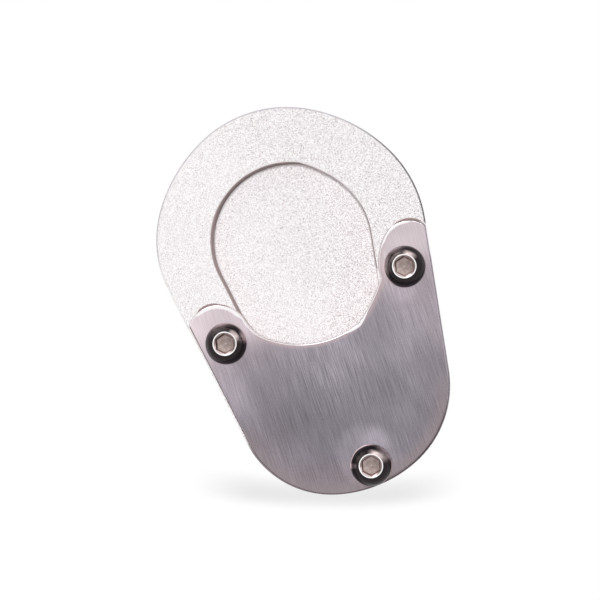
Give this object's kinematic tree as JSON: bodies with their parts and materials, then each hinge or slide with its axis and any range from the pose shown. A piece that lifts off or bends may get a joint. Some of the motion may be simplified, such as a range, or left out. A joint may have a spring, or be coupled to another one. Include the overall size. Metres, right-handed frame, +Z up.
{
  "type": "kickstand foot enlarger",
  "caption": "Flat foot enlarger for a motorcycle side stand: bead blasted ring with a pocket for the stand's foot, closed behind by a let-in steel clamp plate with button head screws.",
  "frame": {"origin": "underside of the base, at the middle of its outline", "axes": "+Z up from the ground, +Y towards the front of the ring, +X towards the lug that reaches further forwards"},
  "size_m": [0.0682, 0.0998, 0.0143],
  "materials": {
    "blasted_aluminium": "bead blasted, clear anodised",
    "brushed_stainless": "brushed, edge polished",
    "polished_stainless": "mirror polished"
  },
  "bodies": {
    "root": {"foot_base": "blasted_aluminium", "clamp_plate": "brushed_stainless", "screw_left_lug": "polished_stainless", "screw_right_lug": "polished_stainless", "screw_heel": "polished_stainless"}
  },
  "joints": []
}
